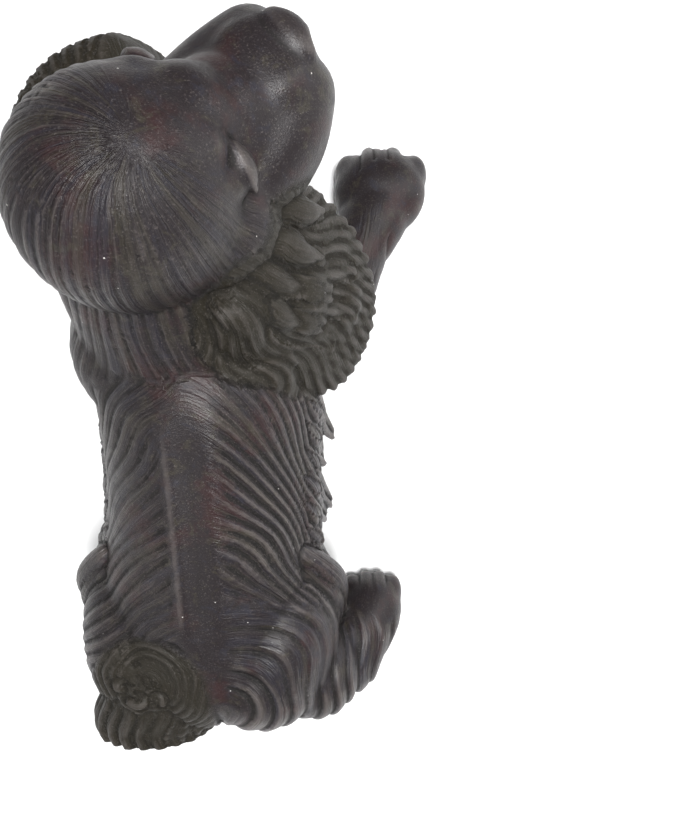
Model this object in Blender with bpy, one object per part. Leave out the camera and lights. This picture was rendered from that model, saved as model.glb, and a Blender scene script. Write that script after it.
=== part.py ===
# Cocker spaniel garden statue, cast in one piece: the dog lies with its forelegs stretched
# ahead, its haunches beside it and its head raised and turned to its own right.
# The figure is laid out in shares of its own length, in a frame of its own: x to the
# dog's right, y ahead, z up from the ground. At the end it is turned to face -Y.

import math

import bmesh
import bpy
import numpy as np
from mathutils import Matrix, Vector

# Driving dimensions, in metres
STATUE_LENGTH = 0.404       # front toes to the cut end of the tail
CARVING_DEPTH = 0.0022      # how deep the broad grooves of the coat are cut
FORM_GRAIN = 0.0030         # grid on which the clay-like lumps are fused into one skin
FACET_COUNT = 9400          # triangles left in the finished solid

# One share: the figure's proportions below are in parts of 404 to its length
SHARE = STATUE_LENGTH / 404.0

# Pose: where the head sits and how far it is turned to the dog's right
SKULL_CENTRE = (-4.0, 90.0, 206.0)
HEAD_TURN = math.radians(-45.0)
FORELEG_SPREAD = 111.0      # each front foot stands this far from the spine's line
NEAR_HIND_FOOT = (106.0, -141.0, 14.0)
FAR_HIND_FOOT = (-76.0, -98.0, 12.0)
TAIL_END = -206.0           # the tail is cut off flat here

EAR_LOCK = 9.0              # half thickness of the ears' thin locks; every other one is fuller
FULLER_LOCK = 3.0
FLANK_LOCK = 10.0           # the same for the feathering down the flanks
THIGH_LOCK = 9.5
ELBOW_LOCK = 7.5
BREAST_LOCK = 11.0
TAIL_CURL = 7.0

# The two frames in which lumps are placed: the ground under the dog, and the turned head
BODY = Matrix.Identity(4)
HEAD = Matrix.Translation(SKULL_CENTRE) @ Matrix.Rotation(HEAD_TURN, 4, "Z")

# One unit ball for each fineness, shared by every lump
balls = {}

# Sections of the trunk: right, ahead, up, then half width, half length, half height
TRUNK = (
    (0.0, 100.0, 74.0, 46.0, 30.0, 64.0),
    (1.0, 62.0, 82.0, 58.0, 40.0, 78.0),
    (4.0, 16.0, 83.0, 62.0, 44.0, 81.0),
    (4.0, -24.0, 76.0, 61.0, 45.0, 74.0),
    (3.0, -64.0, 68.0, 62.0, 46.0, 68.0),
    (1.0, -106.0, 60.0, 67.0, 46.0, 61.0),
    (0.0, -150.0, 50.0, 68.0, 50.0, 54.0),
)


def smooth_path(stations, steps):
    """Points on a smooth curve through the stations, whatever their number of values."""
    knots = np.array([stations[0], *stations, stations[-1]], dtype=float)
    path = []
    for span in range(len(stations) - 1):
        before, start, end, after = knots[span:span + 4]
        for step in range(steps):
            t = step / steps
            path.append(
                start
                + 0.5 * t * (end - before)
                + 0.5 * t**2 * (2 * before - 5 * start + 4 * end - after)
                + 0.5 * t**3 * (3 * start - before - 3 * end + after)
            )
    path.append(knots[-2])
    return path


def make_ball(fineness):
    """A unit ball that every lump is a stretched copy of."""
    shape = bmesh.new()
    bmesh.ops.create_icosphere(shape, subdivisions=fineness, radius=1.0)
    ball = bpy.data.meshes.new("ball")
    shape.to_mesh(ball)
    shape.free()
    return ball


def lump(clay, place, centre, halves, fineness=4):
    """One ellipsoid of clay, given its centre and its three half sizes."""
    if fineness not in balls:
        balls[fineness] = make_ball(fineness)
    piece = balls[fineness].copy()
    piece.transform(place @ Matrix.Translation(centre) @ Matrix.Diagonal((*halves, 1.0)))
    clay.from_mesh(piece)
    bpy.data.meshes.remove(piece)


def limb(clay, place, stations, steps=5):
    """A run of ellipsoids close enough to fuse into one smooth limb."""
    for section in smooth_path(stations, steps):
        lump(clay, place, section[:3], section[3:])


def lock(clay, place, points, thick, taper=0.6):
    """A tapered lock of fur along a bent path: full near its root, thin at its tip."""
    path = smooth_path(points, 6)
    for step, point in enumerate(path):
        along = step / (len(path) - 1)
        swell = 0.72 + 0.28 * math.sin(math.pi * min(1.0, 1.6 * along))
        radius = thick * swell * (1.0 - taper * along**2.2)
        lump(clay, place, point, (radius, radius, radius), 2)


def trunk_point(ahead, round_angle, lift):
    """A point on the trunk: the angle runs from the spine down the dog's right side."""
    aheads = [section[1] for section in reversed(TRUNK)]
    values = [
        np.interp(ahead, aheads, [section[k] for section in reversed(TRUNK)])
        for k in (0, 2, 3, 5)
    ]
    middle, up, half_wide, half_high = values
    return (
        middle + (half_wide + lift) * math.sin(round_angle),
        ahead,
        up + (half_high + lift) * math.cos(round_angle),
    )


def add_trunk(clay):
    limb(clay, BODY, TRUNK, 6)
    # Thick neck that carries the raised head
    limb(clay, BODY, (
        (1.0, 34.0, 112.0, 56.0, 46.0, 52.0),
        (-3.0, 58.0, 140.0, 51.0, 44.0, 46.0),
        (-8.0, 82.0, 172.0, 46.0, 42.0, 42.0),
    ))
    # Shoulder blades stand a little proud of the back, and the thighs and rump close it behind
    for side in (-1.0, 1.0):
        lump(clay, BODY, (side * 35.0, 40.0, 104.0), (30.0, 42.0, 54.0))
        lump(clay, BODY, (side * 43.0, -132.0, 50.0), (39.0, 64.0, 54.0))
        lump(clay, BODY, (side * 32.0, -158.0, 50.0), (44.0, 46.0, 48.0))
    # The near hock lies on the ground behind its foot
    lump(clay, BODY, (82.0, -164.0, 16.0), (30.0, 34.0, 24.0))
    lump(clay, BODY, (64.0, -172.0, 34.0), (34.0, 34.0, 36.0))
    # The stomach rests on the ground between the elbows and the haunches
    lump(clay, BODY, (2.0, -14.0, 22.0), (64.0, 112.0, 42.0))


def add_head(clay):
    lump(clay, HEAD, (0.0, 0.0, 0.0), (46.0, 48.0, 50.0))
    lump(clay, HEAD, (0.0, 12.0, 1.0), (42.0, 44.0, 43.0))
    # Blunt, deep muzzle from the stop to the nose
    limb(clay, HEAD, (
        (0.0, 34.0, -6.0, 27.0, 22.0, 24.0),
        (0.0, 56.0, -10.0, 26.0, 22.0, 21.0),
        (0.0, 80.0, -10.0, 20.0, 19.0, 18.0),
    ))
    lump(clay, HEAD, (0.0, 95.0, -4.0), (15.0, 8.0, 11.0))
    # Chin and throat
    limb(clay, HEAD, (
        (0.0, 66.0, -42.0, 19.0, 24.0, 14.0),
        (0.0, 34.0, -44.0, 30.0, 28.0, 20.0),
        (0.0, 0.0, -48.0, 40.0, 36.0, 30.0),
    ))
    for side in (-1.0, 1.0):
        # Hanging lips, cheeks and brows
        limb(clay, HEAD, (
            (-2.0 + side * 14.0, 78.0, -20.0, 15.0, 19.0, 21.0),
            (-0.5 + side * 18.0, 63.0, -25.0, 18.0, 24.0, 25.0),
            (side * 24.0, 40.0, -27.0, 17.0, 24.0, 23.0),
        ))
        lump(clay, HEAD, (side * 30.0, 16.0, -24.0), (23.0, 30.0, 28.0))
        lump(clay, HEAD, (side * 15.0, 32.0, 18.0), (13.0, 12.0, 10.0))
        lump(clay, HEAD, (side * 10.0, 74.0, -9.0), (14.0, 21.0, 17.0))
        # Almond eye
        lump(clay, HEAD, (side * 26.5, 40.0, 6.0), (9.0, 5.5, 5.5))


def fan_lock(root, tip, sag, sway):
    """Path of one ear lock: over a convex bow, then swaying to and fro towards its tip."""
    root, tip = Vector(root), Vector(tip)
    run = tip - root
    side = run.cross(Vector((0.0, 0.0, 1.0))).normalized()
    return [
        root,
        root + 0.34 * run + Vector((0.0, 0.0, sag)) + sway * side,
        root + 0.70 * run + Vector((0.0, 0.0, 0.6 * sag)) - sway * side,
        tip,
    ]


def add_near_ear(clay):
    """The ear on the dog's right lies over its shoulder and upper arm as a broad fan."""
    lump(clay, BODY, (48.0, 70.0, 132.0), (34.0, 40.0, 38.0))
    lump(clay, BODY, (72.0, 74.0, 94.0), (27.0, 38.0, 36.0))
    rim = (
        (68.0, 112.0, 142.0),
        (88.0, 100.0, 114.0),
        (100.0, 76.0, 86.0),
        (97.0, 48.0, 76.0),
        (82.0, 22.0, 84.0),
        (58.0, 14.0, 106.0),
        (30.0, 22.0, 140.0),
    )
    tips = smooth_path(rim, 4)
    for place, tip in enumerate(tips):
        spread = place / (len(tips) - 1)
        start = (21.0 + 8.0 * spread, 76.0 - 26.0 * spread, 194.0 - 16.0 * spread)
        sway = 3.5 if place % 2 else -1.5
        path = fan_lock(start, tip, 22.0 - 17.0 * spread, sway)
        lock(clay, BODY, path, EAR_LOCK + FULLER_LOCK * (place % 2), 0.35)
    # Shorter pointed locks lie over them near the root
    over = smooth_path((
        (70.0, 102.0, 153.0),
        (76.0, 86.0, 146.0),
        (70.0, 68.0, 143.0),
        (54.0, 50.0, 146.0),
    ), 2)
    for place, tip in enumerate(over):
        spread = place / (len(over) - 1)
        start = (20.0 + 6.0 * spread, 80.0 - 28.0 * spread, 202.0)
        lock(clay, BODY, fan_lock(start, tip, 13.0 - 5.0 * spread, 3.0), 7.5, 0.75)


def add_far_ear(clay):
    """The other ear flares out from the head and hangs in front of the far shoulder."""
    rim = (
        (-40.0, 60.0, -82.0),
        (-50.0, 50.0, -104.0),
        (-60.0, 31.0, -114.0),
        (-65.0, 9.0, -110.0),
        (-63.0, -12.0, -96.0),
        (-56.0, -29.0, -76.0),
    )
    tips = smooth_path(rim, 4)
    for place, tip in enumerate(tips):
        spread = place / (len(tips) - 1)
        flare = math.sin(math.pi * (0.12 + 0.76 * spread))
        sway = 3.0 if place % 2 else -2.0
        lock(clay, HEAD, (
            (-38.0, 24.0 - 38.0 * spread, -4.0),
            (-45.0 - 17.0 * flare, 40.0 - 56.0 * spread, -16.0),
            (-42.0 - 27.0 * flare, 58.0 - 82.0 * spread + sway, -58.0),
            tip,
        ), EAR_LOCK + FULLER_LOCK * (place % 2), 0.35)


def add_foreleg(clay, side):
    limb(clay, BODY, [(side * x, *rest) for x, *rest in (
        (50.0, 52.0, 78.0, 30.0, 34.0, 36.0),
        (70.0, 54.0, 40.0, 27.0, 31.0, 32.0),
        (82.0, 84.0, 24.0, 24.0, 28.0, 27.0),
        (94.0, 116.0, 21.0, 22.0, 26.0, 24.0),
        (FORELEG_SPREAD - 4.0, 142.0, 19.0, 24.0, 26.0, 23.0),
    )])
    # Broad rounded foot with four toes
    lump(clay, BODY, (side * FORELEG_SPREAD, 160.0, 15.0), (33.0, 31.0, 25.0))
    for toe in range(4):
        across = (toe - 1.5) * 15.5
        reach = 6.0 - 5.0 * abs(toe - 1.5) ** 1.5
        centre = (side * (FORELEG_SPREAD + 1.0) + across, 178.0 + reach, 11.0)
        lump(clay, BODY, centre, (9.6, 15.0, 14.5))


def add_hind_foot(clay, centre, size):
    x, y, z = centre
    limb(clay, BODY, (
        (x * 0.82, y - 32.0, z + 8.0, 24.0 * size, 24.0 * size, 24.0 * size),
        (x * 0.90, y - 16.0, z + 8.0, 22.0 * size, 26.0 * size, 25.0 * size),
        (x, y, z, 21.0 * size, 26.0 * size, 22.0 * size),
    ), 3)
    for toe in range(4):
        across = (toe - 1.5) * 10.0 * size
        reach = 17.0 * size - 3.0 * abs(toe - 1.5)
        lump(clay, BODY, (x + across, y + reach, z - 4.0), (6.6 * size, 12.0 * size, 11.0 * size))


def add_tail(clay):
    """A fat docked stub of curls, cut off flat behind."""
    limb(clay, BODY, (
        (-20.0, -132.0, 84.0, 26.0, 26.0, 22.0),
        (-29.0, -158.0, 72.0, 34.0, 28.0, 29.0),
        (-34.0, -186.0, 56.0, 36.0, 28.0, 32.0),
        (-38.0, -208.0, 45.0, 35.0, 26.0, 30.0),
    ))
    for curl in range(7):
        turn = math.radians(-78.0 + 26.0 * curl)
        reach_x = math.sin(turn)
        reach_z = math.cos(turn)
        lock(clay, BODY, (
            (-28.0 + 26.0 * reach_x, -148.0, 72.0 + 22.0 * reach_z),
            (-32.0 + 33.0 * reach_x, -176.0, 60.0 + 30.0 * reach_z),
            (-40.0 + 35.0 * reach_x, -198.0, 52.0 + 31.0 * reach_z),
            (-30.0 + 32.0 * reach_x, -222.0, 46.0 + 29.0 * reach_z),
        ), TAIL_CURL)


def add_coat(clay):
    """The broad locks that break the outline: flanks, thighs, breast and elbows."""
    for side in (-1.0, 1.0):
        # Feathering that hangs down the flanks to the ground
        for row in range(8):
            ahead = 34.0 - 16.0 * row
            sweep = 12.0 if row % 2 else 18.0
            lock(clay, BODY, [
                trunk_point(ahead + 12.0, side * 1.15, -3.0),
                trunk_point(ahead + 2.0, side * 1.45, 0.0),
                trunk_point(ahead - sweep, side * 1.80, 1.0),
                (side * (66.0 + 4.0 * (row % 2)), ahead - sweep - 10.0, 8.0),
            ], FLANK_LOCK)
        # Long locks that run down the thigh and round the haunch
        for row in range(6):
            lock(clay, BODY, (
                (side * 58.0, -84.0 - 9.0 * row, 90.0 - 4.0 * row),
                (side * (77.0 - 2.0 * row), -104.0 - 10.0 * row, 66.0 - 2.0 * row),
                (side * (82.0 - 4.0 * row), -128.0 - 11.0 * row, 40.0),
                (side * (82.0 - 8.0 * row), -144.0 - 11.0 * row, 20.0),
            ), THIGH_LOCK)
        # Feathering behind the elbow and along the forearm
        for row in range(4):
            lock(clay, BODY, (
                (side * (84.0 + 8.0 * row), 74.0 + 18.0 * row, 36.0),
                (side * (93.0 + 7.0 * row), 62.0 + 18.0 * row, 28.0),
                (side * (97.0 + 7.0 * row), 48.0 + 18.0 * row, 12.0),
            ), ELBOW_LOCK)
    # Breast fur falls from the throat to the ground between the forelegs
    for column in range(7):
        across = (column - 3.0) * 13.0
        drop = 4.0 * abs(column - 3.0)
        lock(clay, BODY, (
            (0.8 * across, 104.0 - drop, 128.0),
            (across, 126.0 - drop, 92.0),
            (1.05 * across + 4.0, 132.0 - 1.3 * drop, 52.0),
            (1.1 * across, 122.0 - 1.2 * drop, 6.0),
        ), BREAST_LOCK)


def fused(clay):
    """The lumps as one closed skin, on a regular grid, softened where they meet."""
    mesh = bpy.data.meshes.new("lumps")
    clay.to_mesh(mesh)
    clay.free()
    figure = bpy.data.objects.new("figure", mesh)
    bpy.context.collection.objects.link(figure)
    grid = figure.modifiers.new("one skin", "REMESH")
    grid.mode = "VOXEL"
    grid.voxel_size = FORM_GRAIN / SHARE
    grid.adaptivity = 0.0
    soft = figure.modifiers.new("softened", "SMOOTH")
    soft.factor = 0.5
    soft.iterations = 4
    return apply_modifiers(figure)


def apply_modifiers(figure):
    depsgraph = bpy.context.evaluated_depsgraph_get()
    shaped = bpy.data.meshes.new_from_object(figure.evaluated_get(depsgraph))
    figure.modifiers.clear()
    figure.data = shaped
    return figure


def blend(value, low, high):
    """0 below low, 1 above high, and a smooth rise between."""
    t = np.clip((value - low) / (high - low), 0.0, 1.0)
    return t * t * (3.0 - 2.0 * t)


def carve_coat(figure):
    """Cuts the broad grooves of the coat into the skin, along its normals."""
    mesh = figure.data
    places = np.empty(3 * len(mesh.vertices))
    normals = np.empty(3 * len(mesh.vertices))
    mesh.vertices.foreach_get("co", places)
    mesh.vertices.foreach_get("normal", normals)
    places = places.reshape(-1, 3)
    normals = normals.reshape(-1, 3)
    x, y, z = places.T
    # Locks on the back leave the spine sideways and sweep towards the tail
    spine_side = np.abs(x)
    sweep = y + 0.9 * spine_side + 7.0 * np.sin(spine_side / 16.0)
    back = np.sin(2.0 * math.pi * sweep / 17.0 + 1.3 * np.sin(y / 21.0))
    on_back = blend(z, 62.0, 96.0) * blend(-y, -10.0, 16.0) * blend(spine_side, 14.0, 30.0)
    # A hollow runs down the spine between two ridges
    groove = -1.3 * np.exp(-((x + 2.0) / 9.0) ** 2)
    ridges = 0.7 * np.exp(-((spine_side - 19.0) / 8.0) ** 2)
    on_spine = blend(-y, -8.0, 14.0) * blend(z, 86.0, 106.0) * (1.0 - blend(-y, 118.0, 140.0))
    # Curved locks circle the top of each haunch
    reach = np.hypot(y + 150.0, 1.15 * (z - 52.0))
    ring = np.sin(2.0 * math.pi * reach / 17.0)
    on_haunch = blend(spine_side, 40.0, 60.0) * blend(-y, 84.0, 104.0)
    on_haunch = on_haunch * blend(z, 8.0, 20.0) * (1.0 - blend(z, 88.0, 108.0))
    depth = back * on_back * (1.0 - on_haunch) + (groove + ridges) * on_spine + ring * on_haunch
    places += normals * (depth * 0.5 * CARVING_DEPTH / SHARE)[:, None]
    mesh.vertices.foreach_set("co", places.ravel())
    mesh.update()


def keep_largest_skin(skin):
    """Drops every scrap that no edge joins to the body, and the walls of closed hollows."""
    waiting = set(skin.faces)
    islands = []
    while waiting:
        island = [waiting.pop()]
        for face in island:
            # Two skins that only touch share an edge of four faces: it joins nothing
            joined = [edge for edge in face.edges if len(edge.link_faces) == 2]
            for edge in joined:
                for other in edge.link_faces:
                    if other in waiting:
                        waiting.discard(other)
                        island.append(other)
        islands.append(island)
    islands.sort(key=len)
    for island in islands[:-1]:
        bmesh.ops.delete(skin, geom=island, context="FACES")


def cut_flat(skin, point, normal):
    """Cuts away what lies beyond the plane and closes the cut with a flat face."""
    bmesh.ops.bisect_plane(
        skin,
        geom=skin.verts[:] + skin.edges[:] + skin.faces[:],
        dist=1e-4,
        plane_co=point,
        plane_no=normal,
        clear_outer=True,
    )
    open_edges = [edge for edge in skin.edges if edge.is_boundary]
    bmesh.ops.triangle_fill(skin, edges=open_edges, use_beauty=True, normal=normal)


def stone_material():
    material = bpy.data.materials.new("stained cast stone")
    material.use_nodes = True
    shader = material.node_tree.nodes["Principled BSDF"]
    shader.inputs["Base Color"].default_value = (0.058, 0.048, 0.048, 1.0)
    shader.inputs["Roughness"].default_value = 0.5
    shader.inputs["Metallic"].default_value = 0.0
    return material


def make_spaniel():
    clay = bmesh.new()
    add_trunk(clay)
    add_head(clay)
    add_near_ear(clay)
    add_far_ear(clay)
    for side in (-1.0, 1.0):
        add_foreleg(clay, side)
    add_hind_foot(clay, NEAR_HIND_FOOT, 1.0)
    add_hind_foot(clay, FAR_HIND_FOOT, 0.85)
    add_tail(clay)
    add_coat(clay)
    spaniel = fused(clay)
    carve_coat(spaniel)
    thinned = spaniel.modifiers.new("facets", "DECIMATE")
    thinned.ratio = min(1.0, FACET_COUNT / (2.0 * len(spaniel.data.polygons)))
    apply_modifiers(spaniel)

    skin = bmesh.new()
    skin.from_mesh(spaniel.data)
    bmesh.ops.triangulate(skin, faces=skin.faces[:])
    keep_largest_skin(skin)
    cut_flat(skin, (0.0, 0.0, 0.0), (0.0, 0.0, -1.0))
    cut_flat(skin, (0.0, TAIL_END, 0.0), (0.0, -1.0, 0.0))
    keep_largest_skin(skin)
    bmesh.ops.triangulate(skin, faces=skin.faces[:])
    # Turn the dog to face -Y, bring it to size and centre it over the origin
    bmesh.ops.transform(skin, matrix=Matrix.Rotation(math.pi, 4, "Z"), verts=skin.verts)
    ys = [vertex.co.y for vertex in skin.verts]
    size = STATUE_LENGTH / (max(ys) - min(ys))
    bmesh.ops.scale(skin, vec=(size, size, size), verts=skin.verts)
    xs = [vertex.co.x for vertex in skin.verts]
    ys = [vertex.co.y for vertex in skin.verts]
    middle = Vector((min(xs) + max(xs), min(ys) + max(ys), 0.0)) / 2.0
    bmesh.ops.translate(skin, vec=-middle, verts=skin.verts)
    bmesh.ops.recalc_face_normals(skin, faces=skin.faces[:])
    skin.to_mesh(spaniel.data)
    skin.free()
    spaniel.name = "cocker_spaniel"
    spaniel.data.name = "cocker_spaniel"
    spaniel.data.materials.clear()
    spaniel.data.materials.append(stone_material())
    return spaniel


for old in list(bpy.data.objects):
    bpy.data.objects.remove(old)
make_spaniel()
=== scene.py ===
import math

import bmesh
import bpy
import numpy as np
from mathutils import Matrix, Vector, kdtree


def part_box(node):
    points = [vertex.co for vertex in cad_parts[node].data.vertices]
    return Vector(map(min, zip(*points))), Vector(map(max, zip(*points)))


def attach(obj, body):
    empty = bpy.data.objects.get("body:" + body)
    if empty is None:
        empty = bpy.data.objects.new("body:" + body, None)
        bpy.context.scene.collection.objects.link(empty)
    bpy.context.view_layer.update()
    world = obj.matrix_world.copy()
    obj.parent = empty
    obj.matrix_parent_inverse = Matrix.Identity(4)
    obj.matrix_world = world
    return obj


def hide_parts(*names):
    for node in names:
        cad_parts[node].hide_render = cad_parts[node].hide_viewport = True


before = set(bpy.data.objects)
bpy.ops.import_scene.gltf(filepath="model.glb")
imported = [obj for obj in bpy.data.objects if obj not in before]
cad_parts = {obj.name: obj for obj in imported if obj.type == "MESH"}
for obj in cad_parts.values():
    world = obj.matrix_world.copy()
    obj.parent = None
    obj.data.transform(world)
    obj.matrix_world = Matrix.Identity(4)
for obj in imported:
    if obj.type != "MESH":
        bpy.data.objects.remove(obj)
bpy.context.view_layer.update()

corners = np.array(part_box("cocker_spaniel"))

# The figure is laid out in parts of 404 to its length, x to the dog's right, y ahead, z up.
# Its tail is cut off flat at the back of the solid's box.
figure = {
    "partsLong": 404.0,
    "tailEnd": -206.0,
    "skullCentre": (-4.0, 90.0, 206.0),
    "headTurn": math.radians(-45.0),
    "forelegSpread": 111.0,
    "nearHindFoot": (106.0, -141.0, 14.0),
    "farHindFoot": (-76.0, -98.0, 12.0),
    "skinGrain": 1.05,        # grid that fuses the lumps, in parts
    "softening": 4,           # rounds of smoothing over the whole skin
    "softerBody": 18,         # further rounds between the modelled locks
    "fuller": 0.9,            # how far the smoothed body is let out again
    "fineHollow": 0.21,       # depth at which a fine hollow takes the full painted shade and settled stain, in parts
    # depth at which a broad hollow takes the full painted shade, in parts
    "broadShade": 2.5,
    "triangles": 192000,
}
part = (corners[1][1] - corners[0][1]) / figure["partsLong"]
toFrame = (
    Matrix.Translation((0.0, corners[1][1] + figure["tailEnd"] * part, 0.0))
    @ Matrix.Rotation(math.pi, 4, "Z")
    @ Matrix.Scale(part, 4)
)

onBody = Matrix.Identity(4)
onHead = Matrix.Translation(figure["skullCentre"]) @ Matrix.Rotation(figure["headTurn"], 4, "Z")

# Trunk sections: right, ahead, up, then half width, half length, half height
trunk = (
    (0.0, 100.0, 74.0, 46.0, 30.0, 64.0),
    (1.0, 62.0, 82.0, 58.0, 40.0, 78.0),
    (4.0, 16.0, 83.0, 62.0, 44.0, 81.0),
    (4.0, -24.0, 76.0, 61.0, 45.0, 74.0),
    (3.0, -64.0, 68.0, 62.0, 46.0, 68.0),
    (1.0, -106.0, 60.0, 67.0, 46.0, 61.0),
    (0.0, -150.0, 50.0, 68.0, 50.0, 54.0),
)


def smoothPath(stations, steps):
    knots = np.array([stations[0], *stations, stations[-1]], dtype=float)
    path = []
    for span in range(len(stations) - 1):
        before, start, end, after = knots[span:span + 4]
        for step in range(steps):
            t = step / steps
            path.append(
                start
                + 0.5 * t * (end - before)
                + 0.5 * t**2 * (2 * before - 5 * start + 4 * end - after)
                + 0.5 * t**3 * (3 * start - before - 3 * end + after)
            )
    path.append(knots[-2])
    return path


balls = {}
leafLocks = set()       # numbers of the ear's overlying locks
hairPaths = []          # points along every lock: centre, radius, run, way along, number, zone


def lump(clay, place, centre, halves, fineness=4):
    # every lump is a stretched copy of one ball
    if fineness not in balls:
        shape = bmesh.new()
        bmesh.ops.create_icosphere(shape, subdivisions=fineness, radius=1.0)
        balls[fineness] = bpy.data.meshes.new("ball")
        shape.to_mesh(balls[fineness])
        shape.free()
    piece = balls[fineness].copy()
    piece.transform(place @ Matrix.Translation(centre) @ Matrix.Diagonal((*halves, 1.0)))
    clay.from_mesh(piece)
    bpy.data.meshes.remove(piece)


def limb(clay, place, stations, steps=8):
    for section in smoothPath(stations, steps):
        lump(clay, place, section[:3], section[3:], 5)


def lock(clay, place, points, thick, taper=0.6, zone="fringe", leaf=False):
    # a leaf is narrow at its root and broad before its tip
    path = smoothPath(points, 9)
    number = hairPaths[-1][4] + 1 if hairPaths else 0
    if leaf:
        leafLocks.add(number)
    way = 0.0
    for step, point in enumerate(path):
        along = step / (len(path) - 1)
        if leaf:
            swell = 0.5 + 0.5 * math.sin(math.pi * min(1.0, 0.12 + 0.85 * along) ** 1.4)
        else:
            swell = 0.72 + 0.28 * math.sin(math.pi * min(1.0, 1.6 * along))
        radius = thick * swell * (1.0 - taper * along**2.2)
        lump(clay, place, point, (radius, radius, radius), 3)
        ahead = Vector(path[min(step + 1, len(path) - 1)] - path[max(step - 1, 0)])
        way += 0.5 * ahead.length
        run = (place.to_3x3() @ ahead).normalized()
        hairPaths.append((place @ Vector(point), radius, run, way, number, zone))


def trunkAt(ahead):
    # the trunk's middle, height, half width and half height at this distance ahead
    sections = trunk[::-1]
    aheads = [section[1] for section in sections]
    return [np.interp(ahead, aheads, [section[k] for section in sections]) for k in (0, 2, 3, 5)]


def trunkPoint(ahead, roundAngle, lift):
    middle, up, halfWide, halfHigh = trunkAt(ahead)
    return (
        middle + (halfWide + lift) * math.sin(roundAngle),
        ahead,
        up + (halfHigh + lift) * math.cos(roundAngle),
    )


def addTrunk(clay):
    limb(clay, onBody, trunk)
    limb(clay, onBody, (
        (1.0, 34.0, 112.0, 56.0, 46.0, 52.0),
        (-3.0, 58.0, 140.0, 51.0, 44.0, 46.0),
        (-8.0, 82.0, 172.0, 46.0, 42.0, 42.0),
    ))
    for side in (-1.0, 1.0):
        lump(clay, onBody, (side * 35.0, 40.0, 104.0), (30.0, 42.0, 54.0), 5)
        lump(clay, onBody, (side * 43.0, -132.0, 50.0), (39.0, 64.0, 54.0), 5)
        lump(clay, onBody, (side * 32.0, -158.0, 50.0), (44.0, 46.0, 48.0), 5)
    # near hock on the ground behind its foot, then the stomach
    lump(clay, onBody, (82.0, -164.0, 16.0), (30.0, 34.0, 24.0), 5)
    lump(clay, onBody, (64.0, -172.0, 34.0), (34.0, 34.0, 36.0), 5)
    lump(clay, onBody, (2.0, -14.0, 22.0), (64.0, 112.0, 42.0), 5)


# Nose leather: an oval pad tipped back over the end of the muzzle
nose = {"centre": (0.0, 91.0, -1.0), "tip": math.radians(-40.0), "halves": (15.5, 10.0, 9.5)}


def addHead(clay):
    lump(clay, onHead, (0.0, 0.0, 0.0), (46.0, 48.0, 50.0), 5)
    lump(clay, onHead, (0.0, 10.0, 3.0), (37.0, 40.0, 42.0), 5)
    # forehead running down into the muzzle
    lump(clay, onHead, (0.0, 34.0, 6.0), (23.0, 24.0, 27.0), 5)
    lump(clay, onHead, (0.0, 50.0, 0.0), (21.0, 20.0, 18.0), 5)
    limb(clay, onHead, (
        (0.0, 34.0, -6.0, 27.0, 22.0, 24.0),
        (0.0, 56.0, -10.0, 26.0, 22.0, 21.0),
        (0.0, 80.0, -10.0, 20.0, 19.0, 18.0),
    ))
    tipped = onHead @ Matrix.Translation(nose["centre"]) @ Matrix.Rotation(nose["tip"], 4, "X")
    lump(clay, tipped, (0.0, 0.0, 0.0), nose["halves"], 5)
    # chin and throat
    limb(clay, onHead, (
        (0.0, 66.0, -42.0, 19.0, 24.0, 14.0),
        (0.0, 34.0, -44.0, 30.0, 28.0, 20.0),
        (0.0, 0.0, -48.0, 40.0, 36.0, 30.0),
    ))
    for side in (-1.0, 1.0):
        # hanging lips, cheeks and brows
        limb(clay, onHead, (
            (-2.0 + side * 14.5, 80.0, -19.0, 16.5, 20.0, 21.0),
            (side * 18.5, 63.0, -24.0, 19.5, 24.0, 25.0),
            (side * 24.0, 40.0, -27.0, 17.0, 24.0, 23.0),
        ))
        lump(clay, onHead, (side * 30.0, 16.0, -24.0), (23.0, 30.0, 28.0), 5)
        lump(clay, onHead, (side * 15.0, 30.0, 20.0), (13.0, 12.0, 12.0), 5)
        lump(clay, onHead, (side * 24.0, 29.0, 9.0), (13.0, 12.0, 13.0), 5)
        lump(clay, onHead, (side * 10.0, 74.0, -9.0), (14.0, 21.0, 17.0), 5)


# Almond eye between two lids, from its inner to its outer corner
eye = {
    "inner": (21.5, 41.0, 18.5),
    "outer": (37.0, 36.0, 5.0),
    "ball": 7.0,
    "lidThick": 1.5,
    "lidOpen": 4.6,
    "hollow": (14.0, 9.5),    # half length and half height of the hollow round it
    "hollowHigh": 12.0,
}


def eyeFrame(side):
    inner = Vector((side * eye["inner"][0], eye["inner"][1], eye["inner"][2]))
    outer = Vector((side * eye["outer"][0], eye["outer"][1], eye["outer"][2]))
    middle = (inner + outer) / 2.0
    along = (outer - inner).normalized()
    outward = middle.normalized()
    outward = (outward - outward.dot(along) * along).normalized()
    up = outward.cross(along) * side
    return inner, outer, middle, along, outward, up


def addEyes(clay):
    for side in (-1.0, 1.0):
        inner, outer, middle, along, outward, up = eyeFrame(side)
        half = (outer - inner).length / 2.0
        axes = Matrix((along, up, outward)).transposed().to_4x4()
        place = onHead @ Matrix.Translation(middle + 0.4 * outward) @ axes
        lump(clay, place, (0.0, 0.0, 0.0), (half * 0.86, eye["ball"] * 0.8, eye["ball"] * 0.72), 5)
        for lift in (-0.85, 1.15):
            points = []
            for step in range(5):
                t = step / 4.0
                bow = math.sin(math.pi * t)
                points.append(
                    inner.lerp(outer, t)
                    + up * lift * eye["lidOpen"] * bow
                    + outward * (2.2 * bow + 0.8)
                )
            path = smoothPath(points, 8)
            for point in path:
                lump(clay, onHead, point, [eye["lidThick"]] * 3, 3)


# Locks of the near ear, in the order they are laid
ear = {"rimThick": 9.2, "middleThick": 8.5, "leafThick": 10.5}


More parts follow.
